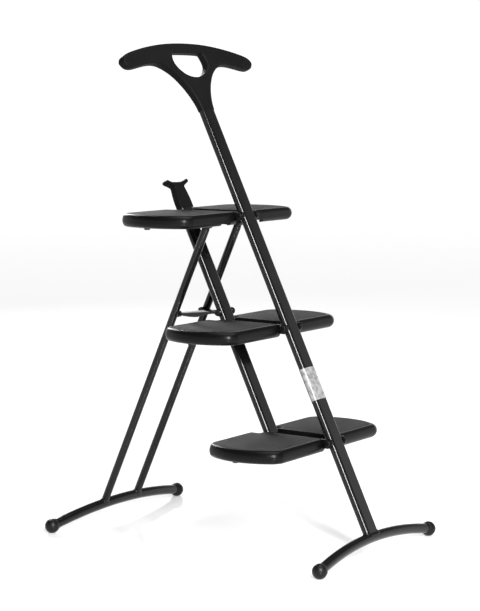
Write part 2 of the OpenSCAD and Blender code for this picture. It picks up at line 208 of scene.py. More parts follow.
def paintedTube(name, paintShade, roughLow, roughHigh):
    material, nodes, links = emptyMaterial(name)

    output = nodes.new("ShaderNodeOutputMaterial")
    output.label = "Painted tube"
    output.location = (900, 0)
    surface = nodes.new("ShaderNodeBsdfPrincipled")
    surface.label = "Satin black powder coat"
    surface.location = (600, 0)
    surface.inputs["Specular IOR Level"].default_value = 0.27

    place = nodes.new("ShaderNodeTexCoord")
    place.label = "Place on the tube"
    place.location = (-900, 0)

    colourFrame = nodes.new("NodeFrame")
    colourFrame.label = "Depth of the black"
    handling = nodes.new("ShaderNodeTexNoise")
    handling.label = "Where hands and shelves rub"
    handling.location = (-600, 300)
    handling.parent = colourFrame
    handling.inputs["Scale"].default_value = 14
    handling.inputs["Detail"].default_value = 5
    shade = nodes.new("ShaderNodeValToRGB")
    shade.label = "Paint shade"
    shade.location = (-300, 300)
    shade.parent = colourFrame
    setStops(shade.color_ramp, 0.35, (paintShade * 0.8, paintShade * 0.8, paintShade * 0.83, 1),
             0.75, (paintShade * 1.3, paintShade * 1.3, paintShade * 1.36, 1))

    glossFrame = nodes.new("NodeFrame")
    glossFrame.label = "Uneven sheen"
    sheen = nodes.new("ShaderNodeMapRange")
    sheen.label = "Roughness range"
    sheen.location = (-300, 0)
    sheen.parent = glossFrame
    sheen.inputs["To Min"].default_value = roughLow
    sheen.inputs["To Max"].default_value = roughHigh

    reliefFrame = nodes.new("NodeFrame")
    reliefFrame.label = "Orange peel"
    peel = nodes.new("ShaderNodeTexNoise")
    peel.label = "Powder coat ripple"
    peel.location = (-600, -300)
    peel.parent = reliefFrame
    peel.inputs["Scale"].default_value = 600
    peel.inputs["Detail"].default_value = 2
    relief = nodes.new("ShaderNodeBump")
    relief.label = "Shallow ripple"
    relief.location = (-100, -300)
    relief.parent = reliefFrame
    relief.inputs["Strength"].default_value = 0.04
    relief.inputs["Distance"].default_value = 0.0003

    links.new(place.outputs["Object"], handling.inputs["Vector"])
    links.new(place.outputs["Object"], peel.inputs["Vector"])
    links.new(handling.outputs["Fac"], shade.inputs["Fac"])
    links.new(handling.outputs["Fac"], sheen.inputs["Value"])
    links.new(peel.outputs["Fac"], relief.inputs["Height"])
    links.new(shade.outputs["Color"], surface.inputs["Base Color"])
    links.new(sheen.outputs["Result"], surface.inputs["Roughness"])
    links.new(relief.outputs["Normal"], surface.inputs["Normal"])
    links.new(surface.outputs["BSDF"], output.inputs["Surface"])
    return material


def mouldedPlastic(name, plasticShade, roughLow, roughHigh, grainScale, grainDepth, gloss):
    material, nodes, links = emptyMaterial(name)

    output = nodes.new("ShaderNodeOutputMaterial")
    output.label = "Moulded plastic"
    output.location = (900, 0)
    surface = nodes.new("ShaderNodeBsdfPrincipled")
    surface.label = "Black moulding"
    surface.location = (600, 0)
    surface.inputs["Specular IOR Level"].default_value = gloss

    place = nodes.new("ShaderNodeTexCoord")
    place.label = "Place on the moulding"
    place.location = (-900, 0)

    colourFrame = nodes.new("NodeFrame")
    colourFrame.label = "Flow and dust"
    flow = nodes.new("ShaderNodeTexNoise")
    flow.label = "Flow of the melt"
    flow.location = (-600, 300)
    flow.parent = colourFrame
    flow.inputs["Scale"].default_value = 9
    flow.inputs["Detail"].default_value = 6
    flow.inputs["Distortion"].default_value = 0.6
    shade = nodes.new("ShaderNodeValToRGB")
    shade.label = "Plastic shade"
    shade.location = (-300, 300)
    shade.parent = colourFrame
    setStops(shade.color_ramp, 0.3, (plasticShade * 0.82, plasticShade * 0.82, plasticShade * 0.84, 1),
             0.8, (plasticShade * 1.25, plasticShade * 1.25, plasticShade * 1.3, 1))

    glossFrame = nodes.new("NodeFrame")
    glossFrame.label = "Worn sheen"
    sheen = nodes.new("ShaderNodeMapRange")
    sheen.label = "Roughness range"
    sheen.location = (-300, 0)
    sheen.parent = glossFrame
    sheen.inputs["To Min"].default_value = roughLow
    sheen.inputs["To Max"].default_value = roughHigh

    grainFrame = nodes.new("NodeFrame")
    grainFrame.label = "Spark-eroded grain"
    grain = nodes.new("ShaderNodeTexVoronoi")
    grain.label = "Grain pits"
    grain.location = (-600, -300)
    grain.parent = grainFrame
    grain.inputs["Scale"].default_value = grainScale
    grain.inputs["Randomness"].default_value = 1
    relief = nodes.new("ShaderNodeBump")
    relief.label = "Grain relief"
    relief.location = (-100, -300)
    relief.parent = grainFrame
    relief.inputs["Strength"].default_value = grainDepth
    relief.inputs["Distance"].default_value = 0.0003

    links.new(place.outputs["Object"], flow.inputs["Vector"])
    links.new(place.outputs["Object"], grain.inputs["Vector"])
    links.new(flow.outputs["Fac"], shade.inputs["Fac"])
    links.new(flow.outputs["Fac"], sheen.inputs["Value"])
    links.new(grain.outputs["Distance"], relief.inputs["Height"])
    links.new(shade.outputs["Color"], surface.inputs["Base Color"])
    links.new(sheen.outputs["Result"], surface.inputs["Roughness"])
    links.new(relief.outputs["Normal"], surface.inputs["Normal"])
    links.new(surface.outputs["BSDF"], output.inputs["Surface"])
    return material


def pebbledRubber(name, darkShade, paleShade, pebbleScale, pebbleHeight, roughness):
    material, nodes, links = emptyMaterial(name)

    output = nodes.new("ShaderNodeOutputMaterial")
    output.label = "Rubber"
    output.location = (1100, 0)
    surface = nodes.new("ShaderNodeBsdfPrincipled")
    surface.label = "Non-slip rubber"
    surface.location = (800, 0)
    surface.inputs["Roughness"].default_value = roughness
    surface.inputs["Specular IOR Level"].default_value = 0.2

    place = nodes.new("ShaderNodeTexCoord")
    place.label = "Place on the rubber"
    place.location = (-900, 0)

    colourFrame = nodes.new("NodeFrame")
    colourFrame.label = "Scuffs and dust"
    scuff = nodes.new("ShaderNodeTexNoise")
    scuff.label = "Trodden patches"
    scuff.location = (-600, 300)
    scuff.parent = colourFrame
    scuff.inputs["Scale"].default_value = 22
    scuff.inputs["Detail"].default_value = 8
    scuff.inputs["Roughness"].default_value = 0.65
    shade = nodes.new("ShaderNodeValToRGB")
    shade.label = "Rubber shade"
    shade.location = (-300, 300)
    shade.parent = colourFrame
    setStops(shade.color_ramp, 0.38, (darkShade, darkShade, darkShade * 1.02, 1),
             0.68, (paleShade, paleShade, paleShade * 1.02, 1))

    pebbleFrame = nodes.new("NodeFrame")
    pebbleFrame.label = "Pebbles"
    pebbles = nodes.new("ShaderNodeTexVoronoi")
    pebbles.label = "Pebble cells"
    pebbles.location = (-600, -250)
    pebbles.parent = pebbleFrame
    pebbles.feature = "SMOOTH_F1"
    pebbles.inputs["Scale"].default_value = pebbleScale
    pebbles.inputs["Smoothness"].default_value = 0.35
    crown = nodes.new("ShaderNodeMapRange")
    crown.label = "Round the pebbles"
    crown.location = (-300, -250)
    crown.parent = pebbleFrame
    crown.interpolation_type = "SMOOTHSTEP"
    crown.inputs["From Min"].default_value = 0.1
    crown.inputs["From Max"].default_value = 0.6
    crown.inputs["To Min"].default_value = 1
    crown.inputs["To Max"].default_value = 0
    relief = nodes.new("ShaderNodeBump")
    relief.label = "Pebble relief"
    relief.location = (0, -250)
    relief.parent = pebbleFrame
    relief.inputs["Strength"].default_value = pebbleHeight
    relief.inputs["Distance"].default_value = 0.0006

    # Painted shade: the colour between the pebbles is mixed toward half the dark rubber shade, following the
    # pebble relief
    valleyShadeFrame = nodes.new("NodeFrame")
    valleyShadeFrame.label = "Painted shade in the valleys"
    valleys = nodes.new("ShaderNodeMix")
    valleys.label = "Painted shade between pebbles"
    valleys.location = (300, 200)
    valleys.parent = valleyShadeFrame
    valleys.data_type = "RGBA"
    valleys.inputs["A"].default_value = (darkShade * 0.5, darkShade * 0.5, darkShade * 0.5, 1)

    links.new(place.outputs["Object"], scuff.inputs["Vector"])
    links.new(place.outputs["Object"], pebbles.inputs["Vector"])
    links.new(scuff.outputs["Fac"], shade.inputs["Fac"])
    links.new(pebbles.outputs["Distance"], crown.inputs["Value"])
    links.new(crown.outputs["Result"], relief.inputs["Height"])
    links.new(crown.outputs["Result"], valleys.inputs["Factor"])
    links.new(shade.outputs["Color"], valleys.inputs["B"])
    links.new(valleys.outputs["Result"], surface.inputs["Base Color"])
    links.new(relief.outputs["Normal"], surface.inputs["Normal"])
    links.new(surface.outputs["BSDF"], output.inputs["Surface"])
    return material


def blackenedSteel(name):
    material, nodes, links = emptyMaterial(name)

    output = nodes.new("ShaderNodeOutputMaterial")
    output.label = "Blackened steel"
    output.location = (900, 0)
    surface = nodes.new("ShaderNodeBsdfPrincipled")
    surface.label = "Black oxide"
    surface.location = (600, 0)
    surface.inputs["Metallic"].default_value = 1
    surface.inputs["Anisotropic"].default_value = 0.3

    place = nodes.new("ShaderNodeTexCoord")
    place.label = "Place on the steel"
    place.location = (-900, 0)

    colourFrame = nodes.new("NodeFrame")
    colourFrame.label = "Oxide"
    spangle = nodes.new("ShaderNodeTexVoronoi")
    spangle.label = "Oxide mottling"
    spangle.location = (-600, 300)
    spangle.parent = colourFrame
    spangle.inputs["Scale"].default_value = 260
    shade = nodes.new("ShaderNodeValToRGB")
    shade.label = "Oxide shade"
    shade.location = (-300, 300)
    shade.parent = colourFrame
    shade.color_ramp.elements[0].color = (0.016, 0.016, 0.017, 1)
    shade.color_ramp.elements[1].color = (0.04, 0.04, 0.042, 1)

    glossFrame = nodes.new("NodeFrame")
    glossFrame.label = "Turning marks"
    marks = nodes.new("ShaderNodeTexNoise")
    marks.label = "Fine marks"
    marks.location = (-600, 0)
    marks.parent = glossFrame
    marks.inputs["Scale"].default_value = 700
    marks.inputs["Detail"].default_value = 3
    sheen = nodes.new("ShaderNodeMapRange")
    sheen.label = "Roughness range"
    sheen.location = (-300, 0)
    sheen.parent = glossFrame
    sheen.inputs["To Min"].default_value = 0.25
    sheen.inputs["To Max"].default_value = 0.5
    relief = nodes.new("ShaderNodeBump")
    relief.label = "Mark relief"
    relief.location = (0, -200)
    relief.parent = glossFrame
    relief.inputs["Strength"].default_value = 0.1
    relief.inputs["Distance"].default_value = 0.0002

    links.new(place.outputs["Object"], spangle.inputs["Vector"])
    links.new(place.outputs["Object"], marks.inputs["Vector"])
    links.new(spangle.outputs["Distance"], shade.inputs["Fac"])
    links.new(marks.outputs["Fac"], sheen.inputs["Value"])
    links.new(marks.outputs["Fac"], relief.inputs["Height"])
    links.new(shade.outputs["Color"], surface.inputs["Base Color"])
    links.new(sheen.outputs["Result"], surface.inputs["Roughness"])
    links.new(relief.outputs["Normal"], surface.inputs["Normal"])
    links.new(surface.outputs["BSDF"], output.inputs["Surface"])
    return material


def plainLabel(name):
    material, nodes, links = emptyMaterial(name)

    output = nodes.new("ShaderNodeOutputMaterial")
    output.label = "Blank label"
    output.location = (900, 0)
    surface = nodes.new("ShaderNodeBsdfPrincipled")
    surface.label = "Coated paper"
    surface.location = (600, 0)
    surface.inputs["Roughness"].default_value = 0.38
    surface.inputs["Coat Weight"].default_value = 0.3
    surface.inputs["Coat Roughness"].default_value = 0.2

    place = nodes.new("ShaderNodeTexCoord")
    place.label = "Place on the label"
    place.location = (-900, 0)

    toneFrame = nodes.new("NodeFrame")
    toneFrame.label = "Handled paper"
    tone = nodes.new("ShaderNodeTexNoise")
    tone.label = "Grey mottling"
    tone.location = (-600, 200)
    tone.parent = toneFrame
    tone.inputs["Scale"].default_value = 120
    tone.inputs["Detail"].default_value = 4
    shade = nodes.new("ShaderNodeValToRGB")
    shade.label = "Paper shade"
    shade.location = (-300, 200)
    shade.parent = toneFrame
    setStops(shade.color_ramp, 0.36, (0.12, 0.12, 0.124, 1),
             0.6, (0.24, 0.24, 0.237, 1))

    creaseFrame = nodes.new("NodeFrame")
    creaseFrame.label = "Creases"
    crease = nodes.new("ShaderNodeTexNoise")
    crease.label = "Soft creases"
    crease.location = (-600, -200)
    crease.parent = creaseFrame
    crease.inputs["Scale"].default_value = 60
    relief = nodes.new("ShaderNodeBump")
    relief.label = "Crease relief"
    relief.location = (-300, -200)
    relief.parent = creaseFrame
    relief.inputs["Strength"].default_value = 0.3
    relief.inputs["Distance"].default_value = 0.0005

    links.new(place.outputs["Object"], tone.inputs["Vector"])
    links.new(place.outputs["Object"], crease.inputs["Vector"])
    links.new(tone.outputs["Fac"], shade.inputs["Fac"])
    links.new(crease.outputs["Fac"], relief.inputs["Height"])
    links.new(shade.outputs["Color"], surface.inputs["Base Color"])
    links.new(relief.outputs["Normal"], surface.inputs["Normal"])
    links.new(surface.outputs["BSDF"], output.inputs["Surface"])
    return material


tubePaint = paintedTube("tubePaint", paintShade=0.004, roughLow=0.12, roughHigh=0.18)
stepPlastic = mouldedPlastic("stepPlastic", 0.002, 0.27, 0.34, grainScale=900, grainDepth=0.04, gloss=0.12)
handlePlastic = mouldedPlastic("handlePlastic", 0.004, 0.44, 0.56, grainScale=1100, grainDepth=0.2,
                               gloss=0.05)
linkPlastic = mouldedPlastic("linkPlastic", 0.004, 0.08, 0.14, grainScale=900, grainDepth=0.02, gloss=0.35)
washerNylon = mouldedPlastic("washerNylon", 0.004, 0.5, 0.6, grainScale=700, grainDepth=0.05, gloss=0.06)
treadRubber = pebbledRubber("treadRubber", 0.018, 0.036, pebbleScale=480, pebbleHeight=0.7, roughness=0.62)
footRubber = pebbledRubber("footRubber", 0.005, 0.008, pebbleScale=900, pebbleHeight=0.12, roughness=0.4)
pinSteel = blackenedSteel("pinSteel")
labelPaper = plainLabel("labelPaper")

finishOfSlot = {
    "painted_tube": tubePaint,
    "step_plastic": stepPlastic,
    "handle_plastic": handlePlastic,
    "tread_rubber": treadRubber,
    "foot_rubber": footRubber,
    "steel": pinSteel,
    "nylon": washerNylon,
    "label": labelPaper,
}
for entry in frame["record"]["subparts"]:
    node = frame["nodes"][entry["node"]]
    finish = finishOfSlot[entry["material_slot"]]
    if not node.material_slots:
        node.data.materials.append(finish)
    for materialSlot in node.material_slots:
        materialSlot.material = finish
print("materials made")


def pullChain(piece, oldPlaces, newPlaces):           # extrudes a run of edges and sets the new points
    bpy.ops.mesh.select_mode(type="VERT")
    bpy.ops.mesh.select_all(action="DESELECT")
    shape = bmesh.from_edit_mesh(piece.data)
    points = [min(shape.verts, key=lambda v: (v.co - Vector(place)).length) for place in oldPlaces]
    for first, second in zip(points, points[1:]):
        edge = shape.edges.get((first, second))
        edge.select_set(True)
    bmesh.update_edit_mesh(piece.data)
    bpy.ops.mesh.select_mode(type="EDGE")
    bpy.ops.mesh.extrude_edges_move()
    bpy.ops.mesh.select_mode(type="VERT")
    shape = bmesh.from_edit_mesh(piece.data)
    fresh = [v for v in shape.verts if v.select]
    ordered = [min(fresh, key=lambda v: (v.co - Vector(place)).length).index for place in oldPlaces]
    for index, place in zip(ordered, newPlaces):
        bpy.ops.mesh.select_all(action="DESELECT")
        shape = bmesh.from_edit_mesh(piece.data)
        shape.verts.ensure_lookup_table()
        shape.verts[index].select_set(True)
        bmesh.update_edit_mesh(piece.data)
        shift = Vector(place) - shape.verts[index].co
        bpy.ops.transform.translate(value=shift)


def pullRows(piece, rows):                            # one extrusion from each row of points to the next
    for near, far in zip(rows, rows[1:]):
        pullChain(piece, near, far)


def firstFace(name, corners):                         # a plane whose corners are moved to four places
    bpy.ops.mesh.primitive_plane_add(size=0.01)
    piece = nameNew(name)
    openPiece(piece, "VERT")
    for index, place in enumerate(corners):
        bpy.ops.mesh.select_all(action="DESELECT")
        shape = bmesh.from_edit_mesh(piece.data)
        shape.verts.ensure_lookup_table()
        shape.verts[index].select_set(True)
        bmesh.update_edit_mesh(piece.data)
        bpy.ops.transform.translate(value=Vector(place) - shape.verts[index].co)
    return piece


def upright(*places):                                 # points given in millimetres across and along a bar
    return [Vector((x / 1000, 0, z / 1000)) for x, z in places]


handleValues = {
    "joint": 1.008,            # along the mast
    "thickness": 0.0205,
    "neckThinning": 0.86,
    "neckTop": 0.037,          # the thinning reaches up to here, from the joint
    "edgeRound": 0.0055,
}


def makeHandle():
    piece = firstFace("topHandle", upright((0, 136), (28, 136), (0, 159.5), (31, 159)))
    pullChain(piece, upright((31, 159), (28, 136)), upright((63, 157.5), (56, 134.5)))
    pullChain(piece, upright((63, 157.5), (56, 134.5)), upright((95, 154.5), (96, 130)))
    pullChain(piece, upright((56, 134.5), (96, 130)), upright((62, 114), (101, 105)))
    arm = [
        upright((95, 154.5), (96, 130), (101, 105)),
        upright((124, 150.5), (125, 131), (126, 110)),
        upright((154, 145.5), (154, 127), (155, 107.5)),
        upright((183, 139.5), (184, 121), (185, 101.5)),
        upright((210, 133), (212, 115), (210, 97)),
        upright((228, 126), (236, 113), (226, 99.5)),
    ]
    pullRows(piece, arm)
    limb = [
        upright((62, 114), (101, 105)),
        upright((54, 101), (78, 93.5)),
        upright((41, 89), (60, 79)),
        upright((23, 80.5), (43, 59)),
        upright((0, 77.5), (0, 50)),
    ]
    pullRows(piece, limb)
    neck = [
        upright((0, 50), (43, 59)),
        upright((0, 36), (30.5, 37)),
        upright((0, 18), (24.5, 16)),
        upright((0, 4), (22.6, 4)),
        upright((0, -8), (22, -8)),
        upright((0, -22), (22, -22)),
    ]
    pullRows(piece, neck)
    turnOutward()
    closePiece()
    addModifier(piece, "Other half", "MIRROR", use_clip=True, merge_threshold=0.0005)
    addModifier(piece, "Thickness", "SOLIDIFY", thickness=handleValues["thickness"], offset=0)
    applyModifiers(piece)
    openPiece(piece, "VERT")
    pick(piece, "VERT", lambda p: p.z < handleValues["neckTop"])
    bpy.ops.transform.resize(value=(1, handleValues["neckThinning"], 1), center_override=(0, 0, 0))
    closePiece()
    addModifier(piece, "Edges", "BEVEL", width=handleValues["edgeRound"], segments=3, limit_method="ANGLE",
                angle_limit=creaseAngle)
    addModifier(piece, "Smooth", "SUBSURF", levels=2, render_levels=2)
    applyModifiers(piece)
    openPiece(piece)
    bpy.ops.mesh.select_all(action="SELECT")
    bpy.ops.mesh.bisect(plane_co=(0, 0, 0), plane_no=(0, 0, 1), use_fill=True, clear_inner=True)
    closePiece()
    smoothShade(piece, 40)
    bakePlace(piece, (0, 0, handleValues["joint"]))
    bakePlace(piece, mastFoot, (-mastLean, 0, 0))
    finishPiece(piece, "front_frame", handlePlastic, ["top_handle"])
    print("handle made")


makeHandle()


def flat(*places):                                    # points given in millimetres across and rearward
    return [Vector((x / 1000, y / 1000, 0)) for x, y in places]


def chamferedBar(name, low, high, edge):              # a block between two corners with softened edges
    deselectAll()
    middle = [(a + b) / 2 for a, b in zip(low, high)]
    bpy.ops.mesh.primitive_cube_add(size=1, location=middle, scale=[b - a for a, b in zip(low, high)])
    piece = nameNew(name)
    bakePlace(piece)
    openPiece(piece, "EDGE")
    bpy.ops.mesh.select_all(action="SELECT")
    bpy.ops.mesh.bevel(offset=edge, segments=2, affect="EDGES")
    closePiece()
    return piece


def roundedRod(name, radius, start, end, edge, sides=48):   # a rod along X with softened ends
    deselectAll()
    bpy.ops.mesh.primitive_cylinder_add(vertices=sides, radius=radius, depth=end - start,
                                        location=((start + end) / 2, 0, 0), rotation=(0, math.pi / 2, 0))
    piece = nameNew(name)
    bakePlace(piece)
    openPiece(piece, "EDGE")
    pick(piece, "EDGE", lambda a, b: abs(a.x - b.x) < speck)
    bpy.ops.mesh.bevel(offset=edge, segments=4, affect="EDGES")
    closePiece()
    return piece


stepLow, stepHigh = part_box("step_low_right")
stepLow, stepHigh = stepLow - stepPivots["low"], stepHigh - stepPivots["low"]
rearPinLow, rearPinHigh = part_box("rear_pin_low")
rearPinAt = (rearPinLow + rearPinHigh) / 2 - stepPivots["low"]
bowRadius = 0.146
stepValues = {
    "slotHalf": stepLow.x,
    "bow": bowRadius,          # radius of the bowed end
    "bowSides": 160,
    "bowCentre": stepHigh.x - bowRadius,
    "depth": 0.179,
    "height": 0.028,
    "frontOut": 0.010,         # how far the bullnose stands in front of the rim
    "corner": 0.0151,          # run of the outer corners' rounding along each side
    "cornerReach": 0.0165,     # the bow's points this near to a corner are dissolved before it is rounded
    "bowAlong": 0.0925,        # from the front edge to the line the bowed ends are struck from
    "innerCorner": 0.003,
    "notchHalf": 0.047,
    "notchFront": rearPinAt.y + 0.008,
    "rings": 8,
    "endRound": 0.945,         # how far the bullnose draws the rim in across the step
    "frontRound": 165 / 179,   # and from front to rear
    "rim": 0.0026,
    "rimShift": 0.75,          # part of the rim's width that its inner side moves toward the slot
    "recess": 0.0015,
    "floorFrom": 0.06,         # the mat's floor is the face whose middle lies past this
    "floorHalf": 0.05,
    "wall": 0.003,
    "plate": 0.004,
    "mat": {"fit": (0.9975, 0.9965, 1), "centre": 0.117, "edge": 0.0006},
    "ribDrop": 0.012,
    "ribSink": 0.001,          # the ribs reach this far into the plate
    "ribWide": 0.002,
    "ribEdge": 0.0004,
    "ribInset": 0.008,         # the ribs' ends stay this far inside the outline
    "crossRibs": (0.088, 0.128, 0.168),
    "longRibs": (0.100, 0.140),
    "bumper": (0.2070, 0.111),
    "bumperRod": {"radius": 0.0065, "start": -0.0038, "end": 0.002, "edge": 0.0017},
    "seatRadius": 0.0068,
    "seatEdge": 0.0008,
    "relief": {"low": (0.045, -0.010, -0.004), "high": (0.078, 0.015, 0.006), "edge": 0.0015},
    "earRadius": 0.011,
    "earOut": 0.031,
    "earTail": 0.013,          # how far the ear's rear is drawn back
    "softEdge": 0.001,         # rounding of the ears and bosses
    "bossRadius": 0.008,
    "bossOut": 0.062,
}
stepRear = stepHigh.y
stepFront = stepRear - stepValues["depth"]
stepMiddle = stepFront + stepValues["bowAlong"]
roundMiddle = stepFront + stepValues["frontOut"] / (1 - stepValues["frontRound"])
stepTop, stepBottom = stepHigh.z, stepHigh.z - stepValues["height"]
stepWaist = (stepTop + stepBottom) / 2


def cutPlan(piece, place, direction, clear=True):
    bpy.ops.mesh.select_all(action="SELECT")
    bpy.ops.mesh.bisect(plane_co=place, plane_no=direction, clear_inner=clear)


def makeStepPlan():                                   # a flat face of the step's outline at its waist
    value = stepValues
    deselectAll()
    bpy.ops.mesh.primitive_circle_add(vertices=value["bowSides"], radius=value["bow"], fill_type="NGON",
                                      location=(value["bowCentre"], stepMiddle, stepWaist))
    piece = nameNew("stepLowRight")
    bakePlace(piece)
    openPiece(piece)
    cutPlan(piece, (value["slotHalf"], 0, 0), (1, 0, 0))
    cutPlan(piece, (0, stepFront, 0), (0, 1, 0))
    cutPlan(piece, (0, stepRear, 0), (0, -1, 0))
    cutPlan(piece, (value["notchHalf"], 0, 0), (1, 0, 0), clear=False)
    cutPlan(piece, (0, value["notchFront"], 0), (0, 1, 0), clear=False)
    pick(piece, "FACE", lambda c, n: c.x < value["notchHalf"] and c.y > value["notchFront"])
    bpy.ops.mesh.delete(type="FACE")
    bpy.ops.mesh.select_all(action="SELECT")
    bpy.ops.mesh.dissolve_faces()
    outer = [Vector((value["bowCentre"] + math.sqrt(value["bow"] ** 2 - (y - stepMiddle) ** 2), y, stepWaist))
             for y in (stepFront, stepRear)]
    pick(piece, "VERT", lambda p: any(tiny < (p - c).length < value["cornerReach"] for c in outer))
    bpy.ops.mesh.dissolve_verts()
    pick(piece, "VERT", lambda p: any((p - c).length < tiny for c in outer))
    bpy.ops.mesh.bevel(offset=value["corner"], segments=8, affect="VERTICES")
    slot, notch = value["slotHalf"], value["notchHalf"]
    inner = [(slot, stepFront), (slot, value["notchFront"]), (notch, value["notchFront"]), (notch, stepRear)]
    inner = [Vector((x, y, stepWaist)) for x, y in inner]
    pick(piece, "VERT", lambda p: any((p - c).length < tiny for c in inner))
    bpy.ops.mesh.bevel(offset=value["innerCorner"], segments=4, affect="VERTICES")
    return piece


def drawRings(direction):                             # rounds the side from its waist to the rim
    value = stepValues
    scaleX = scaleY = 1
    for ring in range(1, value["rings"] + 1):
        angle = math.radians(90) * ring / value["rings"]
        before = math.radians(90) * (ring - 1) / value["rings"]
        climb = (stepTop - stepWaist) * (math.sin(angle) - math.sin(before)) * direction
        extrudeBy((0, 0, climb))
        newX = 1 - (1 - value["endRound"]) * (1 - math.cos(angle))
        newY = 1 - (1 - value["frontRound"]) * (1 - math.cos(angle))
        bpy.ops.transform.resize(value=(newX / scaleX, newY / scaleY, 1),
                                 center_override=(value["slotHalf"], roundMiddle, 0))
        scaleX, scaleY = newX, newY


def makeStepHalf():
    value = stepValues
    piece = makeStepPlan()
    turnOutward()
    pick(piece, "FACE", lambda c, n: True)
    drawRings(1)
    bpy.ops.mesh.inset(thickness=value["rim"], depth=0)
    pick(piece, "VERT", lambda p: p.z > stepTop - hair
         and tiny < p.x - value["slotHalf"] < value["rim"] + tiny)
    bpy.ops.transform.translate(value=(-value["rim"] * value["rimShift"], 0, 0))
    pick(piece, "FACE", lambda c, n: c.z > stepTop - hair and abs(n.z) > 0.9
         and c.x > value["floorFrom"] and abs(c.y - stepMiddle) < value["floorHalf"])
    extrudeBy((0, 0, -value["recess"]))
    bpy.ops.mesh.duplicate()
    bpy.ops.mesh.separate(type="SELECTED")
    pick(piece, "FACE", lambda c, n: abs(c.z - stepWaist) < hair and abs(n.z) > 0.9)
    drawRings(-1)
    bpy.ops.mesh.inset(thickness=value["wall"], depth=0)
    hollow = stepTop - value["plate"] - stepBottom
    extrudeBy((0, 0, hollow))
    turnOutward()
    closePiece()
    mat = [other for other in bpy.context.selected_objects if other != piece][0]
    return piece, makeMat(mat)


def makeMat(mat):                                     # the tread mat, from a copy of the recess's floor
    mat.name = "treadLowRight"
    mat.data.name = "treadLowRight"
    openPiece(mat)
    bpy.ops.mesh.select_all(action="SELECT")
    value = stepValues["mat"]
    bpy.ops.transform.resize(value=value["fit"], center_override=(value["centre"], stepMiddle, 0))
    extrudeBy((0, 0, stepValues["recess"]))
    pick(mat, "EDGE", lambda a, b: min(a.z, b.z) > stepTop - tiny)
    bpy.ops.mesh.bevel(offset=value["edge"], segments=3, affect="EDGES")
    turnOutward()
    closePiece()
    smoothShade(mat, 35)
    return mat


def makeStepEar():                                    # carries the front pin beside the mast
    value = stepValues
    deselectAll()
    bpy.ops.mesh.primitive_circle_add(vertices=48, radius=value["earRadius"], fill_type="NGON",
                                      location=(value["slotHalf"], 0, 0), rotation=(0, math.pi / 2, 0))
    ear = nameNew("ear")
    bakePlace(ear)
    openPiece(ear)
    cutPlan(ear, (0, 0, stepTop), (0, 0, -1))
    pick(ear, "VERT", lambda p: p.y > tiny)
    bpy.ops.transform.translate(value=(0, value["earTail"], 0))
    bpy.ops.mesh.select_all(action="SELECT")
    extrudeBy((value["earOut"] - value["slotHalf"], 0, 0))
    pick(ear, "EDGE", lambda a, b: abs(a.x - b.x) < speck)
    bpy.ops.mesh.bevel(offset=value["softEdge"], segments=3, affect="EDGES")
    turnOutward()
    closePiece()
    return ear


def makeStepInside():                                 # ribs, bosses and the bumper's seat
    value = stepValues
    parts = []
    ribLow = stepTop - value["plate"] - value["ribDrop"]
    ribHigh = stepTop - value["plate"] + value["ribSink"]
    wide, edge, inset = value["ribWide"], value["ribEdge"], value["ribInset"]
    ribStart = value["slotHalf"] + wide / 2
    for x in value["crossRibs"]:
        low, high = (x, stepFront + inset, ribLow), (x + wide, stepRear - inset, ribHigh)
        parts.append(chamferedBar("rib", low, high, edge))
    for y in value["longRibs"]:
        reach = math.sqrt(value["bow"] ** 2 - (y + wide / 2 - stepMiddle) ** 2) + value["bowCentre"] - inset
        parts.append(chamferedBar("rib", (ribStart, y, ribLow), (reach, y + wide, ribHigh), edge))
    boss = roundedRod("boss", value["bossRadius"], value["slotHalf"], value["bossOut"], value["softEdge"])
    bakePlace(boss, (0, rearPinAt.y, rearPinAt.z))
    parts.append(boss)
    parts.append(chamferedBar("bossRib", (ribStart, rearPinAt.y - wide / 2, rearPinAt.z),
                              (value["bossOut"] - wide, rearPinAt.y + wide / 2, ribHigh), edge))
    seat = roundedRod("seat", value["seatRadius"], 0, ribHigh - stepBottom, value["seatEdge"])
    bakePlace(seat, turn=(0, -math.pi / 2, 0))
    bakePlace(seat, (value["bumper"][0], value["bumper"][1], stepBottom))
    parts.append(seat)
    return parts


def makeBumper():                                     # rubber button under the step's end
    bumper = roundedRod("bumper", **stepValues["bumperRod"])
    bakePlace(bumper, turn=(0, -math.pi / 2, 0))
    bakePlace(bumper, (stepValues["bumper"][0], stepValues["bumper"][1], stepBottom))
    smoothShade(bumper, 40)
    return bumper


def relieveSkirt(piece):                              # room in the top step's front skirt for a folded leg
    value = stepValues["relief"]
    corner = Vector((0, stepFront, stepBottom))
    low, high = corner + Vector(value["low"]), corner + Vector(value["high"])
    cutter = chamferedBar("cutter", low, high, value["edge"])
    addModifier(piece, "Skirt relief", "BOOLEAN", operation="DIFFERENCE", object=cutter, solver="EXACT")
    applyModifiers(piece)
    bpy.data.objects.remove(cutter)


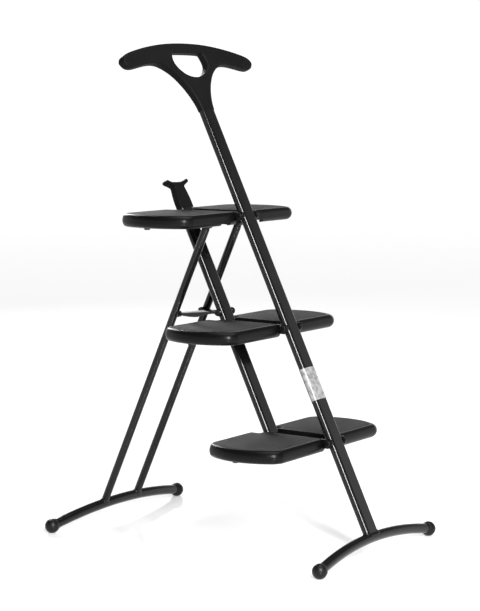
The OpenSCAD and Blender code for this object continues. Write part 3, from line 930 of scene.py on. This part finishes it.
def makeSteps():
    shell, mat = makeStepHalf()
    inside = makeStepInside()
    ear = makeStepEar()
    bumper = makeBumper()
    reliefShell = copyPiece(shell, "stepTopShell")
    relieveSkirt(reliefShell)
    topInside = [copyPiece(part, "topInside") for part in inside + [ear]]
    lowStep = joinPieces([shell, ear] + inside, "stepLowRight")
    topStep = joinPieces([reliefShell] + topInside, "stepTopRight")
    for piece in (lowStep, topStep):
        smoothShade(piece, 34)
    for level, pivot in stepPivots.items():
        model = topStep if level == "top" else lowStep
        for side in ("left", "right"):
            mirrored = side == "left"
            title = level.capitalize() + side.capitalize()
            place = "%s_%s" % (level, side)
            body = stepBodies[level]
            half = copyPiece(model, "step" + title + "Half", pivot, mirrored)
            finishPiece(half, body, stepPlastic, ["step_" + place])
            tread = copyPiece(mat, "tread" + title + "Mat", pivot, mirrored)
            finishPiece(tread, body, treadRubber, ["tread_" + place])
        pair = [copyPiece(bumper, "bumperRight", pivot), copyPiece(bumper, "bumperLeft", pivot, True)]
        both = joinPieces(pair, "bumpers" + level.capitalize())
        finishPiece(both, stepBodies[level], footRubber, ["bumpers_" + level])
    for spare in (lowStep, topStep, mat, bumper):
        bpy.data.objects.remove(spare)
    print("steps made")


makeSteps()

gripValues = {
    "joint": 0.778,            # along the lift bar
    "hem": -0.0065,            # its sleeve ends this far below the joint
    "thickness": 0.0178,
    "edgeRound": 0.005,
}


def makeGrip():                                       # waisted stalk under two upturned wings
    piece = firstFace("releaseGrip", upright((0, -24), (22.6, -24), (0, -4), (22.6, -4)))
    stalk = [
        upright((0, -4), (22.6, -4)),
        upright((0, 18), (22.8, 16)),
        upright((0, 33), (19.5, 31)),
        upright((0, 45), (17, 43)),
        upright((0, 54.5), (20, 55)),
    ]
    pullRows(piece, stalk)
    wing = [
        upright((17, 43), (20, 55)),
        upright((26.5, 48), (28, 58)),
        upright((35, 51), (33.5, 61)),
        upright((40, 55), (37, 61)),
    ]
    pullRows(piece, wing)
    turnOutward()
    closePiece()
    addModifier(piece, "Other half", "MIRROR", use_clip=True, merge_threshold=0.0005)
    addModifier(piece, "Thickness", "SOLIDIFY", thickness=gripValues["thickness"], offset=0)
    addModifier(piece, "Edges", "BEVEL", width=gripValues["edgeRound"], segments=2, limit_method="ANGLE",
                angle_limit=creaseAngle)
    addModifier(piece, "Smooth", "SUBSURF", levels=2, render_levels=2)
    applyModifiers(piece)
    openPiece(piece)
    bpy.ops.mesh.select_all(action="SELECT")
    bpy.ops.mesh.bisect(plane_co=(0, 0, gripValues["hem"]), plane_no=(0, 0, 1), use_fill=True,
                        clear_inner=True)
    closePiece()
    smoothShade(piece, 40)
    bakePlace(piece, (0, 0, gripValues["joint"]))
    bakePlace(piece, barFoot, (-mastLean, 0, 0))
    finishPiece(piece, "lift_bar", handlePlastic, ["release_grip"])
    print("grip made")


makeGrip()

linkValues = {
    "thickness": 0.0045,
    "crown": 0.003,            # its top face stands this far over the line between its pivots
    "flank": [(27, 0, 0, 6), (27.2, 14, 0, 5), (30.5, 24, 1, 5), (39.5, 48, 3, 8), (45, 62, 2, 8),
              (50, 77, 1, 6), (50.4, 92, 0, 6), (50.4, 100, 0, 6)],   # across, along, drop, depth of side
    "edgeRound": 0.0018,
    "earIn": 0.0212,
    "earOut": 0.027,
    "earRadius": 0.008,
    "tipIn": 0.0504 - 0.012,
    "tipOut": 0.0504,
    "tipRadius": 0.007,
    "bossEdge": 0.001,
}


def makeLink():                                       # forked plate between the lift bar and the rear legs
    value = linkValues
    piece = firstFace("spreaderLink", flat((0, 33), (21.2, 33), (0, 48), (25, 48)))
    web = [
        flat((0, 48), (25, 48)),
        flat((0, 64), (25, 66)),
        flat((0, 78.3), (24, 85)),
    ]
    pullRows(piece, web)
    pullChain(piece, flat((21.2, 33), (25, 48)), flat((30.5, 24), (39.5, 48)))
    pullChain(piece, flat((25, 66), (24, 85)), flat((45, 62), (50, 77)))
    fork = [
        flat((21.2, 33), (30.5, 24)),
        flat((21.2, 16), (27.2, 14)),
        flat((21.2, 0), (27, 0)),
    ]
    pullRows(piece, fork)
    tip = [
        flat((24, 85), (50, 77)),
        flat((38.4, 96), (50.4, 92)),
        flat((38.4, 100), (50.4, 100)),
    ]
    pullRows(piece, tip)
    gap = flat((39.5, 48), (45, 62), (25, 48), (25, 66))
    pick(piece, "VERT", lambda p: any((p - corner).length < tiny for corner in gap))
    bpy.ops.mesh.edge_face_add()
    bpy.ops.mesh.select_all(action="SELECT")
    bpy.ops.mesh.remove_doubles(threshold=0.0002)
    bpy.ops.transform.translate(value=(0, 0, value["crown"]))
    rim = []
    hem = []
    for x, y, drop, depth in value["flank"]:
        place = Vector((x / 1000, y / 1000, value["crown"]))
        pick(piece, "VERT", lambda p: (p - place).length < tiny)
        bpy.ops.transform.translate(value=(0, 0, -drop / 1000))
        rim.append(place - Vector((0, 0, drop / 1000)))
        hem.append(rim[-1] - Vector((0, 0, depth / 1000)))
    pullChain(piece, rim, hem)
    turnOutward()
    pick(piece, "FACE", lambda c, n: n.z < -0.9)
    if sum(1 for face in bmesh.from_edit_mesh(piece.data).faces if face.select) > 3:
        bpy.ops.mesh.select_all(action="SELECT")
        bpy.ops.mesh.flip_normals()
    closePiece()
    addModifier(piece, "Other half", "MIRROR", use_clip=True, merge_threshold=0.0005)
    addModifier(piece, "Thickness", "SOLIDIFY", thickness=value["thickness"], offset=-1,
                use_even_offset=True)
    addModifier(piece, "Edges", "BEVEL", width=value["edgeRound"], segments=3, limit_method="ANGLE",
                angle_limit=creaseAngle)
    applyModifiers(piece)
    knuckles = []
    for side in (1, -1):
        ear = roundedRod("ear", value["earRadius"], value["earIn"], value["earOut"], value["bossEdge"])
        tipBoss = roundedRod("tip", value["tipRadius"], value["tipIn"], value["tipOut"], value["bossEdge"])
        bakePlace(tipBoss, (0, linkLength, 0))
        for part in (ear, tipBoss):
            knuckles.append(copyPiece(part, "knuckle", mirrored=side < 0))
            bpy.data.objects.remove(part)
    piece = joinPieces([piece] + knuckles, "spreaderLink")
    smoothShade(piece, 38)
    bakePlace(piece, linkPivot, (linkTilt, 0, 0))
    finishPiece(piece, "spreader", linkPlastic, ["spreader_link"])
    print("link made")


makeLink()

tubeValues = {
    "sides": 96,
    "mast": {"halfWide": 0.022, "halfDeep": 0.0085, "start": 0.027, "end": 1.008},
    "bar": {"halfWide": 0.0205, "halfDeep": 0.0085, "start": 0.2165, "end": 0.778},
    "leg": {"halfWide": 0.0085, "halfDeep": 0.0085, "start": 0.0235, "end": 0.7215},
}


def makeTube(name, across, foot, lean, body, node, halfWide, halfDeep, start, end):
    deselectAll()
    bpy.ops.mesh.primitive_circle_add(vertices=tubeValues["sides"], radius=halfDeep, fill_type="NGON",
                                      location=(0, 0, start))
    tube = nameNew(name)
    bakePlace(tube)
    openPiece(tube)
    if halfWide > halfDeep:
        for side in (1, -1):                          # draws the round out to an oval with flat faces
            pick(tube, "VERT", lambda p: p.x * side > speck)
            bpy.ops.transform.translate(value=((halfWide - halfDeep) * side, 0, 0))
    bpy.ops.mesh.select_all(action="SELECT")
    extrudeBy((0, 0, end - start))
    turnOutward()
    closePiece()
    smoothShade(tube, 30)
    addModifier(tube, "Even sheen", "WEIGHTED_NORMAL", keep_sharp=True)
    applyModifiers(tube)
    bakePlace(tube, (across, 0, 0))
    bakePlace(tube, foot, (lean, 0, 0))
    finishPiece(tube, body, tubePaint, [node])


legX = sum(corner.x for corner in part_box("rear_leg_left")) / 2
makeTube("mastTube", 0, mastFoot, -mastLean, "front_frame", "front_mast", **tubeValues["mast"])
makeTube("liftBarTube", 0, barFoot, -mastLean, "lift_bar", "lift_bar", **tubeValues["bar"])
makeTube("rearLegLeft", legX, rearFoot, legLean, "rear_frame", "rear_leg_left", **tubeValues["leg"])
makeTube("rearLegRight", -legX, rearFoot, legLean, "rear_frame", "rear_leg_right", **tubeValues["leg"])
print("tubes made")

footValues = {
    "ball": 0.016,
    "mouth": 0.0105,           # where the collar starts, from the ball's centre
    "collarLength": 0.003,
    "tube": 0.01115,
    "lip": 0.0006,
}


def makeFootCap(name, lean, halfSpan, archRise, middle, body):
    value = footValues
    archRadius = (halfSpan ** 2 + archRise ** 2) / (2 * archRise)
    slope = math.asin(halfSpan / archRadius)
    deselectAll()
    bpy.ops.mesh.primitive_uv_sphere_add(segments=48, ring_count=24, radius=value["ball"],
                                         rotation=(0, math.pi / 2, 0))
    cap = nameNew(name + "Left")
    bakePlace(cap)
    openPiece(cap)
    bpy.ops.mesh.select_all(action="SELECT")
    bpy.ops.mesh.bisect(plane_co=(value["mouth"], 0, 0), plane_no=(1, 0, 0), use_fill=True, clear_outer=True)
    pick(cap, "FACE", lambda c, n: abs(c.x - value["mouth"]) < tiny and abs(n.x) > 0.95)
    extrudeBy((value["collarLength"], 0, 0))
    pick(cap, "FACE", lambda c, n: c.x > value["mouth"] + value["collarLength"] - tiny and abs(n.x) > 0.95)
    mouthRadius = math.sqrt(value["ball"] ** 2 - value["mouth"] ** 2)
    bpy.ops.mesh.inset(thickness=mouthRadius - value["tube"], depth=0)
    extrudeBy((-value["collarLength"], 0, 0))
    turnOutward()
    closePiece()
    addModifier(cap, "Lip", "BEVEL", width=value["lip"], segments=2, limit_method="ANGLE",
                angle_limit=math.radians(30))
    applyModifiers(cap)
    bakePlace(cap, turn=(0, -slope, 0))
    bakePlace(cap, turn=(lean, 0, 0))
    bakePlace(cap, (-halfSpan, 0, 0))
    right = copyPiece(cap, name + "Right", mirrored=True)
    for piece, side in ((cap, "left"), (right, "right")):
        bakePlace(piece, middle)
        openPiece(piece)
        bpy.ops.mesh.select_all(action="SELECT")
        bpy.ops.mesh.bisect(plane_co=(0, 0, 0), plane_no=(0, 0, 1), use_fill=True, clear_inner=True)
        closePiece()
        smoothShade(piece, 35)
        node = "%s_foot_cap_%s" % (name[:-7].lower(), side)
        finishPiece(piece, body, footRubber, [node])


frontSpan = -frontFootLow.x - footValues["ball"]
rearSpan = -rearFootLow.x - footValues["ball"]
archValues = {"frontRise": 0.026, "rearRise": 0.024, "tube": 0.011, "weldReach": 0.98}
makeFootCap("FrontFootCap", -mastLean, frontSpan, archValues["frontRise"], mastFoot, "front_frame")
makeFootCap("RearFootCap", legLean, rearSpan, archValues["rearRise"], rearFoot, "rear_frame")
print("foot caps made")


def makeWeld(name, across, halfRun, radius, bead, archRise, foot, lean, body):   # bead round a tube's foot
    deselectAll()
    bpy.ops.mesh.primitive_torus_add(major_segments=64, minor_segments=12, major_radius=radius,
                                     minor_radius=bead)
    weld = nameNew(name)
    openPiece(weld)
    for side in (1, -1):
        if halfRun > 0:
            pick(weld, "VERT", lambda p: p.x * side > hair)
            bpy.ops.transform.translate(value=(halfRun * side, 0, 0))
    bands = 8
    tube = archValues["tube"]
    for band in range(bands):                         # sinks the bead over the round of the foot tube
        low, high = band / bands * (radius + bead), (band + 1) / bands * (radius + bead)
        reach = min((low + high) / 2, tube * archValues["weldReach"])
        pick(weld, "VERT", lambda p: low <= abs(p.y) < high)
        bpy.ops.transform.translate(value=(0, 0, math.sqrt(tube ** 2 - reach ** 2)))
    closePiece()
    addModifier(weld, "Even", "SMOOTH", factor=0.5, iterations=3)
    applyModifiers(weld)
    smoothShade(weld, 60)
    bakePlace(weld, (across, 0, archRise))
    bakePlace(weld, foot, (lean, 0, 0))
    finishPiece(weld, body, tubePaint)


makeWeld("mastWeld", 0, 0.0135, 0.0092, 0.0022, archValues["frontRise"], mastFoot, -mastLean, "front_frame")
for sideName, sideX in (("Left", legX), ("Right", -legX)):
    rearBow = (rearSpan ** 2 + archValues["rearRise"] ** 2) / (2 * archValues["rearRise"])
    legFootHeight = archValues["rearRise"] - (rearBow - math.sqrt(rearBow ** 2 - legX ** 2))
    makeWeld("legWeld" + sideName, sideX, 0, 0.0090, 0.0020, legFootHeight, rearFoot, legLean, "rear_frame")
print("welds made")


def makeBoltHead(name, start, radius, height, socket):      # button head with a hexagon socket, facing +X
    head = roundedRod(name, radius, start, start + height, height * 0.3)
    deselectAll()
    bpy.ops.mesh.primitive_cylinder_add(vertices=6, radius=socket, depth=height,
                                        location=(start + height * 0.9, 0, 0), rotation=(0, math.pi / 2, 0))
    cutter = nameNew("socket")
    bakePlace(cutter)
    addModifier(head, "Socket", "BOOLEAN", operation="DIFFERENCE", object=cutter, solver="EXACT")
    applyModifiers(head)
    bpy.data.objects.remove(cutter)
    return head


def makePin(name, reach, shank, radius, height, socket):    # a pin along X with a head at each end
    head = makeBoltHead("head", reach, radius, height, socket)
    tail = copyPiece(head, "tail", mirrored=True)
    rod = roundedRod("rod", shank, -reach - height * 0.2, reach + height * 0.2, rodEdge, sides=32)
    return joinPieces([head, tail, rod], name)


pinValues = {
    "step": {"reach": 0.031, "shank": 0.005, "radius": 0.008, "height": 0.003, "socket": 0.0035},
    "link": {"reach": 0.0272, "shank": 0.004, "radius": 0.007, "height": 0.0026, "socket": 0.003},
    "hinge": {"reach": 0.0118, "shank": 0.004, "radius": 0.006, "height": 0.0015, "socket": 0.0025},
    "bolt": {"inner": 0.051, "outer": 0.065, "shank": 0.004, "radius": 0.0046, "height": 0.003,
             "socket": 0.0025, "overlap": 0.001},
}
rodEdge = 0.0003


def settlePin(pin, place, body, node):
    smoothShade(pin, 35)
    bakePlace(pin, place)
    finishPiece(pin, body, pinSteel, [node])


def makePins():
    for level, pivot in stepPivots.items():
        pin = makePin("frontPin" + level.capitalize(), **pinValues["step"])
        settlePin(pin, pivot, stepBodies[level], "front_pin_" + level)
    pin = makePin("linkPin", **pinValues["link"])
    settlePin(pin, linkPivot, bodyOf["link_pin"], "link_pin")
    hinge = makePin("hingePin", **pinValues["hinge"])
    bakePlace(hinge, (-legX, 0, 0))
    hinges = joinPieces([hinge, copyPiece(hinge, "hingeTwin", mirrored=True)], "legHingePins")
    settlePin(hinges, (0, legPivot.y, legPivot.z), bodyOf["leg_hinge_pins"], "leg_hinge_pins")
    value = pinValues["bolt"]
    head = makeBoltHead("boltHead", value["outer"], value["radius"], value["height"], value["socket"])
    rod = roundedRod("rod", value["shank"], value["inner"], value["outer"] + value["overlap"],
                     rodEdge, sides=32)
    bolt = joinPieces([head, rod], "bolt")
    bolts = joinPieces([bolt, copyPiece(bolt, "boltTwin", mirrored=True)], "linkBolts")
    settlePin(bolts, (0, linkTip.y, linkTip.z), bodyOf["link_bolts"], "link_bolts")
    print("pins made")


bodyOf = {node: body for body, nodes in frame["record"]["behaviour"]["bodies"].items() for node in nodes}
makePins()


def makeFloorMaterial(name):
    material, nodes, links = emptyMaterial(name)

    output = nodes.new("ShaderNodeOutputMaterial")
    output.label = "Studio floor"
    output.location = (600, 0)
    surface = nodes.new("ShaderNodeBsdfPrincipled")
    surface.label = "White sweep"
    surface.location = (300, 0)
    surface.inputs["Base Color"].default_value = (0.8, 0.8, 0.8, 1)
    surface.inputs["Specular IOR Level"].default_value = 0.9
    surface.inputs["Emission Color"].default_value = (1, 1, 1, 1)
    surface.inputs["Emission Strength"].default_value = 0.2

    place = nodes.new("ShaderNodeTexCoord")
    place.label = "Place on the floor"
    place.location = (-600, 0)
    wipe = nodes.new("ShaderNodeTexNoise")
    wipe.label = "Wiped sheen"
    wipe.location = (-300, 0)
    wipe.inputs["Scale"].default_value = 2.5
    sheen = nodes.new("ShaderNodeMapRange")
    sheen.label = "Roughness range"
    sheen.location = (0, 0)
    sheen.inputs["To Min"].default_value = 0.06
    sheen.inputs["To Max"].default_value = 0.09

    links.new(place.outputs["Object"], wipe.inputs["Vector"])
    links.new(wipe.outputs["Fac"], sheen.inputs["Value"])
    links.new(sheen.outputs["Result"], surface.inputs["Roughness"])
    links.new(surface.outputs["BSDF"], output.inputs["Surface"])
    return material


def makeWorld():                                      # white round the horizon, greyer overhead
    world = bpy.data.worlds.new("studio")
    world.use_nodes = True
    nodes = world.node_tree.nodes
    links = world.node_tree.links
    nodes.clear()

    output = nodes.new("ShaderNodeOutputWorld")
    output.label = "Studio"
    output.location = (600, 0)
    backdrop = nodes.new("ShaderNodeBackground")
    backdrop.label = "Backdrop"
    backdrop.location = (400, 0)
    backdrop.inputs["Strength"].default_value = studioValues["backdrop"]
    direction = nodes.new("ShaderNodeTexCoord")
    direction.label = "Direction"
    direction.location = (-600, 0)
    height = nodes.new("ShaderNodeSeparateXYZ")
    height.label = "Height above the horizon"
    height.location = (-400, 0)
    fade = nodes.new("ShaderNodeValToRGB")
    fade.label = "Backdrop up to the dark ceiling"
    fade.location = (-100, 0)
    setStops(fade.color_ramp, 0.2, (1, 1, 1, 1),
             0.45, (studioValues["ceiling"],) * 3 + (1,))

    links.new(direction.outputs["Generated"], height.inputs["Vector"])
    links.new(height.outputs["Z"], fade.inputs["Fac"])
    links.new(fade.outputs["Color"], backdrop.inputs["Color"])
    links.new(backdrop.outputs["Background"], output.inputs["Surface"])
    bpy.context.scene.world = world


studioValues = {
    "floorSize": 40,
    "aimHeight": 0.55,
    "backdrop": 1.1,
    "ceiling": 0.12,
    "lamps": [
        ("keyBox", (-1.9, -2.3, 1.8), (0.5, 1.8), 240),
        ("backBox", (1.9, 3.0, 2.1), (0.8, 1.2), 65),
        ("topBox", (0.3, -0.4, 3.2), (2.2, 2.2), 45),
    ],
}


def makeStage():
    deselectAll()
    bpy.ops.mesh.primitive_plane_add(size=studioValues["floorSize"])
    floor = nameNew("floor")
    floor.data.materials.append(makeFloorMaterial("floorWhite"))
    makeWorld()
    for name, place, size, power in studioValues["lamps"]:
        light = bpy.data.lights.new(name, "AREA")
        light.shape = "RECTANGLE"
        light.size, light.size_y = size
        light.energy = power
        lamp = bpy.data.objects.new(name, light)
        lamp.location = place
        aim = Vector((0, 0, studioValues["aimHeight"])) - Vector(place)
        lamp.rotation_euler = aim.to_track_quat("-Z", "Y").to_euler()
        bpy.context.scene.collection.objects.link(lamp)
    bpy.context.scene.view_settings.view_transform = "Standard"


cameraValues = {
    "place": (-3.272, -2.2724, 0.9665),
    "azimuth": -55.23,
    "elevation": 6.76,
    "lens": 109.0,
    "sensor": 36,
    "shift": (-0.0015, 0.0082),
}


def makeCamera():
    data = bpy.data.cameras.new("camera")
    data.lens = cameraValues["lens"]
    data.sensor_width = cameraValues["sensor"]
    data.shift_x, data.shift_y = cameraValues["shift"]
    camera = bpy.data.objects.new("camera", data)
    camera.location = cameraValues["place"]
    camera.rotation_euler = (math.radians(90 - cameraValues["elevation"]), 0,
                             math.radians(cameraValues["azimuth"]))
    bpy.context.scene.collection.objects.link(camera)
    bpy.context.scene.camera = camera


makeStage()
makeCamera()
print("stage set")
